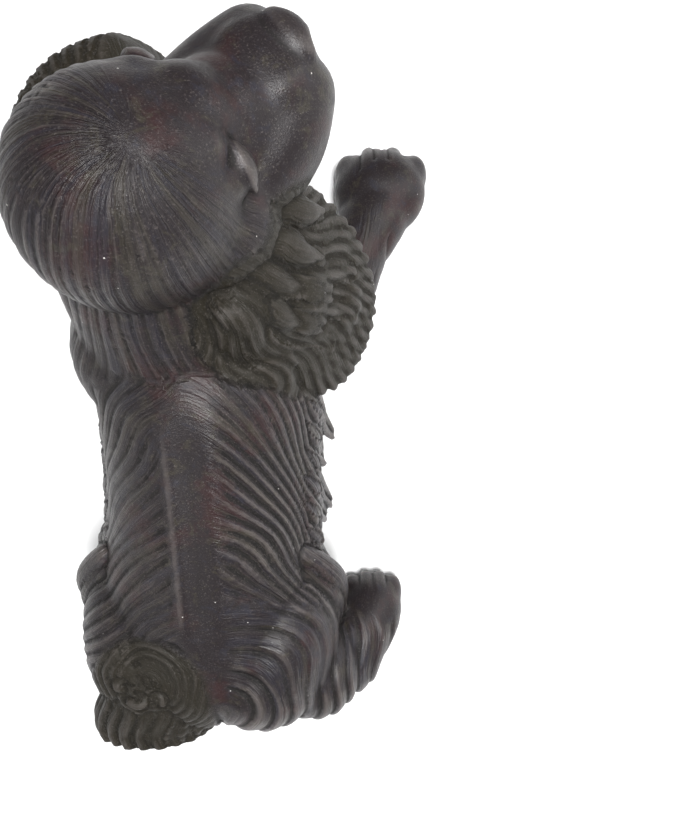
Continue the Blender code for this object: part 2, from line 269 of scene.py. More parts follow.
def fanLock(root, tip, sag, swing, phase):
    # over a convex bow, swinging from side to side on its way to the tip
    root, tip = Vector(root), Vector(tip)
    side = (tip - root).cross(Vector((0.0, 0.0, 1.0))).normalized()
    points = []
    for step in range(8):
        t = step / 7.0
        bow = sag * math.sin(math.pi * t**0.75)
        wave = swing * t * (1.0 - 0.4 * t) * math.sin(3.4 * math.pi * t + phase)
        points.append(root.lerp(tip, t) + Vector((0.0, 0.0, bow)) + wave * side)
    return points


def addNearEar(clay):
    # broad fan over the shoulder and upper arm, in three layers
    lump(clay, onBody, (46.0, 68.0, 130.0), (32.0, 38.0, 36.0), 5)
    lump(clay, onBody, (70.0, 72.0, 92.0), (26.0, 36.0, 34.0), 5)
    rim = (
        (68.0, 112.0, 142.0),
        (88.0, 100.0, 114.0),
        (100.0, 76.0, 86.0),
        (97.0, 48.0, 76.0),
        (82.0, 22.0, 84.0),
        (58.0, 14.0, 106.0),
        (30.0, 22.0, 140.0),
    )
    tips = smoothPath(rim, 4)
    for number, tip in enumerate(tips):
        spread = number / (len(tips) - 1)
        start = (21.0 + 8.0 * spread, 74.0 - 24.0 * spread, 180.0 - 3.0 * spread)
        fuller = number % 2
        path = fanLock(start, tip, 19.0 - 14.0 * spread + 1.5 * fuller, 3.0, 0.10 * number)
        lock(clay, onBody, path, ear["rimThick"], 0.35, "ear")
    middle = smoothPath((
        (80.0, 96.0, 131.0),
        (90.0, 78.0, 114.0),
        (88.0, 56.0, 108.0),
        (74.0, 38.0, 114.0),
        (52.0, 28.0, 134.0),
    ), 1)
    for number, tip in enumerate(middle):
        spread = number / (len(middle) - 1)
        start = (22.0 + 7.0 * spread, 74.0 - 24.0 * spread, 182.0)
        path = fanLock(start, tip, 17.0 - 8.0 * spread, 5.0, 0.3 * number)
        lock(clay, onBody, path, ear["middleThick"], 0.6, "ear")
    for root, tip in (
        ((42.0, 92.0, 176.0), (75.0, 101.0, 151.0)),
        ((38.0, 79.0, 179.0), (74.0, 78.0, 150.0)),
        ((26.0, 69.0, 184.0), (66.0, 61.0, 152.0)),
        ((32.0, 56.0, 173.0), (64.0, 45.0, 145.0)),
    ):
        lock(clay, onBody, fanLock(root, tip, 7.0, 2.0, 0.5), ear["leafThick"], 0.85, "ear", True)


def addFarEar(clay):
    rim = (
        (-40.0, 60.0, -82.0),
        (-50.0, 50.0, -104.0),
        (-60.0, 31.0, -114.0),
        (-65.0, 9.0, -110.0),
        (-63.0, -12.0, -96.0),
        (-56.0, -29.0, -76.0),
    )
    tips = smoothPath(rim, 4)
    for number, tip in enumerate(tips):
        spread = number / (len(tips) - 1)
        flare = math.sin(math.pi * (0.12 + 0.76 * spread))
        sway = 3.0 if number % 2 else -2.0
        lock(clay, onHead, (
            (-38.0, 24.0 - 38.0 * spread, -4.0),
            (-45.0 - 17.0 * flare, 40.0 - 56.0 * spread, -16.0),
            (-42.0 - 27.0 * flare, 58.0 - 82.0 * spread + sway, -58.0),
            tip,
        ), 9.0 + 2.4 * (number % 2), 0.4, "ear")


# Toes: how far apart they lie, and how deep the furrows between them are cut
toes = {"frontApart": 15.5, "hindApart": 10.0, "furrowDeep": 0.9}


def addForeleg(clay, side):
    footX = figure["forelegSpread"]
    limb(clay, onBody, [(side * x, *rest) for x, *rest in (
        (50.0, 52.0, 78.0, 30.0, 34.0, 36.0),
        (70.0, 54.0, 40.0, 27.0, 31.0, 32.0),
        (82.0, 84.0, 24.0, 24.0, 28.0, 27.0),
        (94.0, 116.0, 21.0, 22.0, 26.0, 24.0),
        (footX - 4.0, 142.0, 19.0, 24.0, 26.0, 23.0),
    )])
    lump(clay, onBody, (side * footX, 160.0, 15.0), (33.0, 31.0, 25.0), 5)
    for toe in range(4):
        across = (toe - 1.5) * toes["frontApart"]
        reach = 6.0 - 5.0 * abs(toe - 1.5) ** 1.5
        centre = (side * (footX + 1.0) + across, 176.5 + 0.8 * reach, 11.0)
        lump(clay, onBody, centre, (10.4, 15.0, 14.5), 5)


def addHindFoot(clay, centre, size):
    x, y, z = centre
    limb(clay, onBody, (
        (x * 0.82, y - 32.0, z + 8.0, 24.0 * size, 24.0 * size, 24.0 * size),
        (x * 0.90, y - 16.0, z + 8.0, 22.0 * size, 26.0 * size, 25.0 * size),
        (x, y, z, 21.0 * size, 26.0 * size, 22.0 * size),
    ), 3)
    for toe in range(4):
        across = (toe - 1.5) * toes["hindApart"] * size
        reach = 17.0 * size - 3.0 * abs(toe - 1.5)
        halves = (6.6 * size, 12.0 * size, 11.0 * size)
        lump(clay, onBody, (x + across, y + reach, z - 4.0), halves, 5)


# Curls wound up on top of the tail: right, ahead, how wide each is wound
tailTop = {
    "curls": (
        (-37.0, -150.0, 7.5),
        (-25.0, -154.0, 6.0),
        (-36.0, -165.0, 6.5),
        (-26.0, -167.0, 5.0),
        (-45.0, -160.0, 5.0),
    ),
    "high": 99.5,
    "thick": 3.3,
}


def addTail(clay):
    limb(clay, onBody, (
        (-20.0, -132.0, 84.0, 26.0, 26.0, 22.0),
        (-29.0, -158.0, 72.0, 34.0, 28.0, 29.0),
        (-34.0, -186.0, 56.0, 36.0, 28.0, 32.0),
        (-38.0, -208.0, 45.0, 35.0, 26.0, 30.0),
    ))
    # long locks run back over it to the flat cut
    for curl in range(11):
        turn = math.radians(-80.0 + 16.0 * curl)
        reachX = math.sin(turn)
        reachZ = math.cos(turn)
        lock(clay, onBody, (
            (-28.0 + 26.0 * reachX, -148.0, 72.0 + 22.0 * reachZ),
            (-32.0 + 33.0 * reachX, -176.0, 60.0 + 30.0 * reachZ),
            (-40.0 + 35.0 * reachX, -198.0, 52.0 + 31.0 * reachZ),
            (-30.0 + 32.0 * reachX, -222.0, 46.0 + 29.0 * reachZ),
        ), 6.4 - 0.8 * (curl % 2), 0.5, "tail")
    for curl, (x, y, size) in enumerate(tailTop["curls"]):
        points = []
        for step in range(5):
            bend = 1.9 * curl + 1.05 * step
            reach = size - 0.9 * step
            sink = 0.11 * (abs(x + 31.0) + abs(y + 157.0))
            points.append((
                x + reach * math.cos(bend),
                y + reach * math.sin(bend),
                tailTop["high"] - sink,
            ))
        lock(clay, onBody, points, tailTop["thick"], 0.6, "tail")


def addCoat(clay):
    tipsCurled = (0.2, 1.0, 0.4, 0.0, 0.9, 0.6, 0.1, 0.8)
    for side in (-1.0, 1.0):
        # fringe along the flank
        for row in range(8):
            ahead = 34.0 - 16.0 * row
            sweep = 12.0 if row % 2 else 18.0
            lock(clay, onBody, [
                trunkPoint(ahead + 14.0, side * 1.10, -10.0),
                trunkPoint(ahead + 2.0, side * 1.42, -3.0),
                trunkPoint(ahead - sweep, side * 1.80, 1.0),
                (side * (66.0 + 4.0 * (row % 2)), ahead - sweep - 10.0, 8.0),
            ], 9.0)
            # thinner locks between them, some with their tips curled outward
            curled = tipsCurled[row]
            stray = 4.0 * math.sin(2.3 * row + 1.7 * side)
            for late in (0.0, 8.0):
                lock(clay, onBody, [
                    trunkPoint(ahead + 10.0 - late, side * 1.15, -8.0),
                    trunkPoint(ahead - 5.0 - late, side * 1.55, -1.0),
                    (side * (65.0 + 6.0 * curled), ahead - 18.0 - late + 0.5 * stray, 34.0),
                    (
                        side * (64.0 + 13.0 * curled),
                        ahead - 27.0 - 0.6 * late + stray,
                        22.0 - 6.0 * curled,
                    ),
                ], 5.6, 0.55)
        # thigh, then elbow
        for row in range(6):
            lock(clay, onBody, (
                (side * 58.0, -84.0 - 9.0 * row, 90.0 - 4.0 * row),
                (side * (77.0 - 2.0 * row), -104.0 - 10.0 * row, 66.0 - 2.0 * row),
                (side * (82.0 - 4.0 * row), -128.0 - 11.0 * row, 40.0),
                (side * (82.0 - 8.0 * row), -144.0 - 11.0 * row, 20.0),
            ), 9.5)
        for row in range(2):
            lock(clay, onBody, (
                (side * (84.0 + 8.0 * row), 74.0 + 18.0 * row, 36.0),
                (side * (93.0 + 7.0 * row), 64.0 + 18.0 * row, 28.0),
                (side * (97.0 + 7.0 * row), 56.0 + 18.0 * row, 19.0),
            ), 6.5)
    # breast
    for column in range(7):
        across = (column - 3.0) * 13.0
        drop = 4.0 * abs(column - 3.0)
        lock(clay, onBody, (
            (0.8 * across, 104.0 - drop, 128.0),
            (across, 126.0 - drop, 92.0),
            (1.05 * across + 4.0, 132.0 - 1.3 * drop, 52.0),
            (1.1 * across, 122.0 - 1.2 * drop, 6.0),
        ), 11.0)


def applyModifiers(piece):
    depsgraph = bpy.context.evaluated_depsgraph_get()
    shaped = bpy.data.meshes.new_from_object(piece.evaluated_get(depsgraph))
    piece.modifiers.clear()
    piece.data = shaped


def fuse(clay):
    mesh = bpy.data.meshes.new("lumps")
    clay.to_mesh(mesh)
    clay.free()
    piece = bpy.data.objects.new("spaniel_carved", mesh)
    bpy.context.collection.objects.link(piece)
    grid = piece.modifiers.new("one skin", "REMESH")
    grid.mode = "VOXEL"
    grid.voxel_size = figure["skinGrain"]
    soft = piece.modifiers.new("softened", "SMOOTH")
    soft.factor = 0.5
    soft.iterations = figure["softening"]
    applyModifiers(piece)
    return piece


def rise(value, low, high):
    t = np.clip((value - low) / (high - low), 0.0, 1.0)
    return t * t * (3.0 - 2.0 * t)


def unit(vectors):
    return vectors / np.maximum(np.linalg.norm(vectors, axis=1), 1e-9)[:, None]


def readSkin(mesh):
    count = len(mesh.vertices)
    places = np.empty(3 * count)
    normals = np.empty(3 * count)
    mesh.vertices.foreach_get("co", places)
    mesh.vertices.foreach_get("normal", normals)
    return places.reshape(-1, 3), normals.reshape(-1, 3)


def writeSkin(mesh, places):
    mesh.vertices.foreach_set("co", places.ravel())
    mesh.update()


def inHead(places):
    back = np.array(onHead.inverted())
    return places @ back[:3, :3].T + back[:3, 3]


def nearestLock(places):
    # for every point: height above the nearest lock, its run, way along it, number and zone
    tree = kdtree.KDTree(len(hairPaths))
    for index, hair in enumerate(hairPaths):
        tree.insert(hair[0], index)
    tree.balance()
    found = np.array([tree.find(place)[1] for place in places])
    centres = np.array([hair[0][:] for hair in hairPaths])[found]
    radii, ways, numbers = (np.array([hair[k] for hair in hairPaths])[found] for k in (1, 3, 4))
    runs = np.array([hair[2][:] for hair in hairPaths])[found]
    zones = np.array([hair[5] for hair in hairPaths])[found]
    above = np.linalg.norm(places - centres, axis=1) - radii
    return above, centres, runs, ways, numbers, zones


def neighbourMean(mesh, values, rounds, share=None):
    # smooths values over the skin; the share says how much of each point's value may move
    edges = np.empty(2 * len(mesh.edges), dtype=np.int64)
    mesh.edges.foreach_get("vertices", edges)
    first, second = edges.reshape(-1, 2).T
    count = len(mesh.vertices)
    degree = np.bincount(first, minlength=count) + np.bincount(second, minlength=count)
    degree = np.maximum(degree, 1)
    smooth = values.copy()
    for _ in range(rounds):
        for axis in range(smooth.shape[1]):
            column = smooth[:, axis]
            total = np.bincount(first, column[second], count)
            total += np.bincount(second, column[first], count)
            moved = total / degree
            smooth[:, axis] = moved if share is None else column + share * (moved - column)
    return smooth


# Carved hair, in parts: how wide a lock is, how deep its edge and the strands in it are cut
coat = {
    "rayCentre": (14.0, 92.0),      # on the forehead, where the head's hair parts
    "rays": 56,                     # locks round the head
    "rayTwist": 0.005,              # radians for each part outward
    "skullDeep": 1.8,
    "neckDeep": 1.7,
    "spine": 6.0,                   # how far right of the middle the spine runs
    "spineRidge": 1.3,              # height of the ridges beside it and depth of the dip between
    "backWide": 11.0,
    "backDeep": 3.6,
    "haunchCentre": (5.0, -186.0),
    "haunchWide": 12.5,
    "haunchDeep": 3.2,
    "tailCentre": (-28.0, -156.0),
    "tailWide": 5.0,
    "tailDeep": 2.4,
    "earCentre": (14.0, 80.0),
    "earLocks": 62,                 # as many as would ring the whole fan centre
    "earDeep": 2.7,
    "farEarLocks": 42,
    "legWide": 4.5,
    "legDeep": 0.35,
    "lockWide": 4.2,                # strands on the modelled locks
    "lockDeep": 1.0,
}


def shingle(turns):
    # locks side by side, each with a round crown and a steep far edge
    f = turns - np.floor(turns)
    return np.minimum(f / 0.80, (1.0 - f) / 0.20) ** 0.6


def locks(turns, strands):
    # a lock to each turn, with three strands cut into it
    return shingle(turns) - 0.6 + strands * (shingle(3.0 * turns) - 0.6)


def wander(x, y, size):
    return np.sin(x / size + 1.7 * np.sin(y / (1.3 * size))) * np.sin(
        y / (0.8 * size) + 1.1 * np.sin(x / (1.7 * size)) + 2.0)


def uneven(x, y, size, share=0.3):
    # the cut is deeper in some places than in others
    return 1.0 - share + share * wander(x, y, size)


# Each run of hair gives how far it raises the skin, and strand coordinates for the stain, the
# painted shade between strands and the hair bump: one unit across is one strand, and the last runs
# slowly along it

def strandRows(across, apart, along):
    return np.stack([across, apart + 0.0 * across, along], axis=1)


def headHair(x, y, onSkull):
    # parts on the forehead and twists outward over head and neck
    dx, dy = x - coat["rayCentre"][0], y - coat["rayCentre"][1]
    reach = np.hypot(dx, dy)
    turn = np.arctan2(dx, dy) + coat["rayTwist"] * (reach - 40.0)
    stray = 0.55 * wander(x, y, 16.0)
    turns = turn / (2.0 * math.pi) * coat["rays"] + stray
    deep = coat["skullDeep"] * np.minimum(reach / 50.0, 1.0) * onSkull
    deep += coat["neckDeep"] * (1.0 - onSkull)
    # strands lie round a circle, so that they join up all the way round
    circle = 4.0 * coat["rays"] / (2.0 * math.pi)
    around = turn + 2.0 * math.pi / coat["rays"] * stray
    rows = strandRows(circle * np.cos(around), circle * np.sin(around), 0.05 * reach)
    return deep * uneven(y, x, 19.0) * locks(turns, 0.28), rows


def backHair(x, y, z):
    # leaves the spine sideways and sweeps towards the tail, more curved on the near side
    nearSide = x > coat["spine"]
    up, halfWide, halfHigh = trunkAt(y)[1:]
    arc = 66.0 * np.arctan2(np.abs(x - coat["spine"]) / halfWide, (z - up) / halfHigh)
    bent = np.minimum(arc, 80.0)
    curved = 0.35 * arc + 0.009 * bent**2 + 0.8 * (arc - bent)
    sweep = y + np.where(nearSide, curved, 0.85 * arc)
    turns = sweep / coat["backWide"] + 0.45 * wander(x, y, 19.0)
    deep = coat["backDeep"] * np.where(nearSide, 1.1, 0.6) * uneven(y, x, 17.0, 0.35)
    return deep * locks(turns, 0.28), strandRows(7.0 * turns, 0.0, 0.06 * arc)


def haunchHair(x, y, z):
    # broad locks ring the near buttock
    across, ahead = np.abs(x - coat["haunchCentre"][0]), np.abs(y - coat["haunchCentre"][1])
    ring = (across**3 + ahead**3) ** (1.0 / 3.0) + 0.35 * (100.0 - z)
    turns = ring / coat["haunchWide"] + 0.35 * wander(x, y, 21.0)
    cut = shingle(-turns) - 0.6 + 0.10 * (shingle(4.0 * turns) - 0.6)
    rows = strandRows(8.0 * turns, 80.0, 0.04 * (x - y))
    return coat["haunchDeep"] * uneven(y, x, 18.0) * cut, rows


def tailHair(x, y):
    # winds round the curls on top of the tail
    coil = np.hypot(x - coat["tailCentre"][0], y - coat["tailCentre"][1])
    turns = coil / coat["tailWide"] + 0.25 * wander(x, y, 9.0)
    rows = strandRows(3.5 * turns, 120.0, 0.05 * (x - y))
    return coat["tailDeep"] * (shingle(turns) - 0.5) * rise(coil, 12.0, 18.0), rows


def legHair(x, y):
    turns = (np.abs(x) - 0.2 * y) / coat["legWide"] + 0.3 * wander(x, y, 20.0)
    return coat["legDeep"] * (shingle(turns) - 0.5), strandRows(3.0 * turns, 160.0, 0.05 * y)


def earHair(x, y, z, b, a):
    # long wavy locks fan out over the near ear and hang down the far one
    nearEar = x > 5.0
    across, ahead = x - coat["earCentre"][0], y - coat["earCentre"][1]
    reach = np.hypot(across, ahead)
    wave = 0.0085 * np.sin(reach / 5.2 + 0.6 * np.sin(z / 17.0))
    fanTurns = coat["earLocks"] * (np.arctan2(across, ahead) / (2.0 * math.pi) + wave)
    fanTurns += 0.3 * wander(x, y, 16.0)
    hang = np.arctan2(b, a) / (2.0 * math.pi) + 0.008 * np.sin(z / 6.0)
    hangTurns = coat["farEarLocks"] * hang + 0.3 * wander(z, b, 17.0)
    turns = np.where(nearEar, fanTurns, hangTurns)
    deep = coat["earDeep"] * np.where(nearEar, 1.0, 0.15) * uneven(y, x, 12.0)
    return deep * locks(turns, 0.22), strandRows(6.0 * turns, 200.0, 0.04 * reach)


def lockHair(places, centres, runs, ways, numbers):
    # follows a modelled lock's own run, laid round it by angle
    offset = places - centres
    offset -= np.sum(offset * runs, axis=1)[:, None] * runs
    up = unit(np.array([[0.0, 0.0, 1.0]]) - runs[:, 2:3] * runs)
    angle = np.arctan2(np.sum(offset * np.cross(runs, up), axis=1), np.sum(offset * up, axis=1))
    across = angle * np.linalg.norm(offset, axis=1)
    turns = across / coat["lockWide"] + 0.37 * numbers + 0.15 * np.sin(ways / 9.0 + numbers)
    rows = strandRows(across / 1.3, 7.3 * numbers, 0.05 * ways)
    return coat["lockDeep"] * (shingle(turns) - 0.55), rows


def carveCoat(places):
    # returns how far each point is raised, its strand coordinates and the share of fur and olive
    x, y, z = places.T
    b, a, c = inHead(places).T
    above, centres, runs, ways, numbers, zones = nearestLock(places)

    # where each run of hair lies
    onSkull = rise(c, -46.0, -30.0) * rise(-np.hypot(a, b), -64.0, -54.0)
    fromSpine = rise(np.abs(x - coat["spine"]), 8.0, 19.0)
    onNeck = rise(y + 5.0 * wander(y, x, 15.0), 14.0, 21.0)
    onHaunch = rise(-y - 0.25 * x, 94.0, 103.0) * rise(x, 4.0, 11.0)
    pastRoot = np.maximum(y + 165.0, 0.0)
    tailReach = np.where(y > -165.0, np.hypot(x + 30.0, pastRoot), np.abs(x + 30.0))
    onTail = rise(-tailReach, -38.0, -34.0) * rise(-y, 118.0, 126.0) * rise(z, 20.0, 40.0)
    onLeg = rise(-z, -66.0, -50.0) * rise(np.abs(x), 58.0, 70.0) * rise(y, 44.0, 66.0)
    offSkull = 48.0 * (np.sqrt((b / 46.0) ** 2 + (a / 48.0) ** 2 + (c / 50.0) ** 2) - 1.0)
    inEar = (zones == "ear") & (above < 9.0)
    onLock = np.maximum(rise(-above, -3.2, -1.6), 1.0 * inEar)
    onLock *= 1.0 - onSkull * rise(c, -22.0, -10.0) * rise(-offSkull, -4.0, -2.0)

    raised, strand = backHair(x, y, z)
    raised *= fromSpine
    for share, (height, rows) in (
        (onNeck, headHair(x, y, onSkull)),
        (onHaunch, haunchHair(x, y, z)),
        (onTail, tailHair(x, y)),
        (onLeg, legHair(x, y)),
    ):
        raised = raised * (1.0 - share) + height * share
        strand[share > 0.5] = rows[share > 0.5]
    # crease between the tail and the near buttock
    crease = 3.0 * np.exp(-((tailReach - 39.0) / 2.2) ** 2) * rise(-y, 118.0, 140.0)
    raised -= crease * rise(z, 20.0, 40.0) * rise(x, -34.0, -10.0)
    # modelled locks have strands of their own, but the ears' waves run on over all but the leaves
    height, rows = lockHair(places, centres, runs, ways, numbers)
    waved = inEar & ~np.isin(numbers, list(leafLocks))
    earHeight, earRows = earHair(x, y, z, b, a)
    height = np.where(waved, earHeight, height)
    rows[waved] = earRows[waved]
    raised = raised * (1.0 - onLock) + height * onLock
    strand[onLock > 0.5] = rows[onLock > 0.5]
    # strands fade where one run of hair meets another
    calm = np.ones(len(x))
    for meets in (onNeck, onHaunch, onTail, onLeg, rise(-above, -4.0, -1.0)):
        calm *= 1.0 - 4.0 * meets * (1.0 - meets)

    # face, parting, spine, feet and underside carry no hair
    smoothFace = rise(a + 0.25 * c, 22.0, 40.0) * rise(z, 120.0, 140.0)
    dx, dy = x - coat["rayCentre"][0], y - coat["rayCentre"][1]
    reach = np.clip(0.54 * dx + 0.84 * dy, 0.0, 24.0)
    parting = np.hypot(dx - 0.54 * reach, dy - 0.84 * reach)
    onSpine = (1.0 - fromSpine) * rise(-y, -14.0, 4.0) * rise(z, 80.0, 100.0)
    hindX, hindY = figure["nearHindFoot"][:2]
    bare = np.max((
        smoothFace * (1.0 - onLock),
        (1.0 - rise(parting, 3.0, 12.0)) * onSkull,
        0.85 * onSpine * (1.0 - onTail) * (1.0 - onLock),
        rise(-z, -46.0, -38.0) * rise(np.abs(x), 76.0, 84.0) * rise(y, 128.0, 140.0),
        rise(-z, -44.0, -34.0) * rise(x, hindX - 22.0, hindX - 12.0) * rise(y, hindY - 8.0, hindY),
        rise(-z, -3.0, -1.0),
    ), axis=0)
    hairy = 1.0 - bare
    olive = np.maximum(np.isin(zones, ("ear", "tail")) * onLock, onTail)
    return raised * hairy, strand, hairy * calm, olive


def pit(head, centre, radii, depth):
    gap = (head - np.array(centre)) / np.array(radii)
    return -depth * np.exp(-np.sum(gap * gap, axis=1))


def eyeRing(head, side):
    # how far out each point lies round the eye: 1 on the rim of its hollow
    middle, along, outward, up = (np.array(vector) for vector in eyeFrame(side)[2:])
    gap = head - middle
    tooHigh = np.maximum(np.abs(gap @ outward) - eye["hollowHigh"], 0.0)
    return np.hypot(gap @ along / eye["hollow"][0], gap @ up / eye["hollow"][1]) + 0.1 * tooHigh


# How deep the face is cut, in parts
faceCuts = {
    "padEdge": 0.8,
    "noseToLips": 0.9,
    "nostril": 3.2,
    "lidEdge": 0.8,
    "lip": 1.5,
    "browFurrow": 1.6,
}


def carveFace(places, normals):
    # nose leather, nostrils, lip line and the hollow round each eye
    head = inHead(places)
    b, a, c = head.T
    depth = np.zeros(len(places))
    # edge of the nose leather: an oval across the end of the muzzle
    tip = nose["tip"]
    ahead, lift = a - nose["centre"][1], c - nose["centre"][2]
    flat = ahead * math.cos(tip) + lift * math.sin(tip)
    high = -ahead * math.sin(tip) + lift * math.cos(tip)
    pad = np.hypot(b / nose["halves"][0], flat / nose["halves"][1])
    depth -= (
        faceCuts["padEdge"] * np.exp(-((pad - 1.05) / 0.16) ** 2)
        * rise(high, -1.0, 4.0) * rise(a, 70.0, 78.0)
    )
    # groove down from the nose to the lips
    depth -= (
        faceCuts["noseToLips"] * np.exp(-(b / 1.5) ** 2)
        * rise(a, 90.0, 96.0) * rise(c, -32.0, -26.0) * rise(-c, -4.0, 2.0)
    )
    for side in (-1.0, 1.0):
        depth += pit(head, (side * 9.0, 99.0, 0.0), (3.4, 4.0, 3.0), faceCuts["nostril"])
        ring = eyeRing(head, side)
        depth -= faceCuts["lidEdge"] * np.exp(-((ring - 1.05) / 0.30) ** 2)
    lip = c + 40.0 - 0.004 * (a - 70.0) ** 2
    depth -= faceCuts["lip"] * np.exp(-(lip / 1.6) ** 2) * rise(a, 62.0, 74.0) * (np.abs(b) > 4.0)
    # furrow between the brows
    depth -= (
        faceCuts["browFurrow"] * np.exp(-(b / 6.0) ** 2)
        * np.exp(-((a - 32.0) / 13.0) ** 2) * (c > 10.0)
    )
    face = (a > 8.0) & (places[:, 2] > 138.0)
    return places + normals * (depth * face)[:, None]


def carveFeet(places, normals):
    x, y, z = places.T
    depth = np.zeros(len(places))
    for side in (-1.0, 1.0):
        middle = side * (figure["forelegSpread"] + 1.0)
        for gap in (-1.0, 0.0, 1.0):
            line = x - middle - toes["frontApart"] * gap
            depth -= (
                toes["furrowDeep"] * np.exp(-(line / 1.6) ** 2)
                * rise(y, 176.0, 190.0) * rise(z, 1.0, 6.0)
            )
    hindX, hindY = figure["nearHindFoot"][:2]
    for gap in (-1.0, 0.0, 1.0):
        line = x - hindX - toes["hindApart"] * gap
        depth -= (
            toes["furrowDeep"] * np.exp(-(line / 1.5) ** 2)
            * rise(y, hindY + 14.0, hindY + 24.0) * (z < 36.0) * (x > 84.0)
        )
    return places + normals * depth[:, None]


def carveSpine(places, normals):
    # a sharp ridge on the far side of the spine, a broad one on the near side, a dip between
    x, y, z = places.T
    high = coat["spineRidge"]
    ridges = high * np.exp(-((x + 5.0) / 3.4) ** 2) + high * np.exp(-((x - 18.0) / 6.5) ** 2)
    dip = -high * np.exp(-((x - coat["spine"]) / 6.5) ** 2)
    reach = rise(-y, -14.0, 30.0) * rise(z, 80.0, 100.0) * (1.0 - rise(-y, 108.0, 132.0))
    return places + normals * ((ridges + dip) * reach)[:, None]


def keepLargest(skin):
    waiting = set(skin.faces)
    islands = []
    while waiting:
        island = [waiting.pop()]
        for face in island:
            for edge in face.edges:
                if len(edge.link_faces) != 2:
                    continue
                for other in edge.link_faces:
                    if other in waiting:
                        waiting.discard(other)
                        island.append(other)
        islands.append(island)
    islands.sort(key=len)
    for island in islands[:-1]:
        bmesh.ops.delete(skin, geom=island, context="FACES")


def cutFlat(skin, point, normal):
    bmesh.ops.bisect_plane(
        skin, geom=skin.verts[:] + skin.edges[:] + skin.faces[:], dist=1e-4,
        plane_co=point, plane_no=normal, clear_outer=True,
    )
    openEdges = [edge for edge in skin.edges if edge.is_boundary]
    bmesh.ops.triangle_fill(skin, edges=openEdges, use_beauty=True, normal=normal)


def addAttribute(mesh, name, values):
    if values.ndim == 1:
        layer = mesh.attributes.new(name, "FLOAT", "POINT")
        layer.data.foreach_set("value", values.astype(np.float32))
    else:
        layer = mesh.attributes.new(name, "FLOAT_VECTOR", "POINT")
        layer.data.foreach_set("vector", values.astype(np.float32).ravel())


def makeSpaniel():
    clay = bmesh.new()
    addTrunk(clay)
    addHead(clay)
    addEyes(clay)
    addNearEar(clay)
    addFarEar(clay)
    for side in (-1.0, 1.0):
        addForeleg(clay, side)
    addHindFoot(clay, figure["nearHindFoot"], 1.0)
    addHindFoot(clay, figure["farHindFoot"], 0.85)
    addTail(clay)
    addCoat(clay)
    print("lumps laid:", len(clay.verts), "vertices")
    spaniel = fuse(clay)
    mesh = spaniel.data
    print("skin fused:", len(mesh.vertices), "vertices")
    places, normals = readSkin(mesh)
    above = nearestLock(places)[0]
    head = inHead(places)
    lids = np.maximum(*(1.0 - rise(eyeRing(head, side), 0.75, 1.05) for side in (-1.0, 1.0)))
    share = rise(above, 0.6, 2.4) * (1.0 - lids)
    writeSkin(mesh, neighbourMean(mesh, places, figure["softerBody"], share))
    # smoothing draws the skin in; this lets it out again
    places, normals = readSkin(mesh)
    outward = figure["fuller"] * share * rise(places[:, 2], 30.0, 60.0)
    writeSkin(mesh, places + normals * outward[:, None])
    for carve in (carveSpine, carveFeet, carveFace):
        writeSkin(mesh, carve(*readSkin(mesh)))
    places, normals = readSkin(mesh)
    raised, strand, furry, olive = carveCoat(places)
    raised = neighbourMean(mesh, raised[:, None], 2)[:, 0]
    writeSkin(mesh, places + normals * raised[:, None])
    print("coat carved")
    # hollows and ridges for the colour: painted shade with settled stain in the fine hollows,
    # painted shade in the broad ones, wear on the ridges
    places, normals = readSkin(mesh)
    fine = np.sum((neighbourMean(mesh, places, 3) - places) * normals, axis=1)
    broad = np.sum((neighbourMean(mesh, places, 40) - places) * normals, axis=1)
    fine = neighbourMean(mesh, fine[:, None], 2)[:, 0]
    addAttribute(mesh, "fineHollow", np.clip(fine / figure["fineHollow"], -1.0, 1.0))
    addAttribute(mesh, "broadShade", np.clip(broad / figure["broadShade"], -1.0, 1.0))
    addAttribute(mesh, "strand", strand)
    addAttribute(mesh, "furry", furry)
    addAttribute(mesh, "olive", neighbourMean(mesh, olive[:, None], 12)[:, 0])

    thinned = spaniel.modifiers.new("fewer faces", "DECIMATE")
    thinned.ratio = min(1.0, figure["triangles"] / (2.0 * len(mesh.polygons)))
    applyModifiers(spaniel)
    skin = bmesh.new()
    skin.from_mesh(spaniel.data)
    bmesh.ops.triangulate(skin, faces=skin.faces[:])
    cutFlat(skin, (0.0, 0.0, 0.0), (0.0, 0.0, -1.0))
    cutFlat(skin, (0.0, figure["tailEnd"], 0.0), (0.0, -1.0, 0.0))
    keepLargest(skin)
    bmesh.ops.triangulate(skin, faces=skin.faces[:])
    bmesh.ops.transform(skin, matrix=toFrame, verts=skin.verts)
    loose = [vertex for vertex in skin.verts if not vertex.link_faces]
    bmesh.ops.delete(skin, geom=loose, context="VERTS")
    for face in skin.faces:
        face.smooth = True
    skin.to_mesh(spaniel.data)
    skin.free()
    spaniel.data.name = "spaniel_carved"
    print("spaniel cut flat:", len(spaniel.data.polygons), "triangles")
    return spaniel


def hexColour(text):
    parts = [int(text[k:k + 2], 16) / 255.0 for k in (1, 3, 5)]
    linear = [v / 12.92 if v <= 0.04045 else ((v + 0.055) / 1.055) ** 2.4 for v in parts]
    return (*linear, 1.0)


def node(tree, kind, settings=None, links=None):
    # adds a node; settings name its properties or inputs, links join its inputs to sockets
    made = tree.nodes.new(kind)
    for key, value in (settings or {}).items():
        if isinstance(key, str) and hasattr(made, key):
            setattr(made, key, value)
        else:
            made.inputs[key].default_value = value
    for key, socket in (links or {}).items():
        tree.links.new(socket, made.inputs[key])
    return made


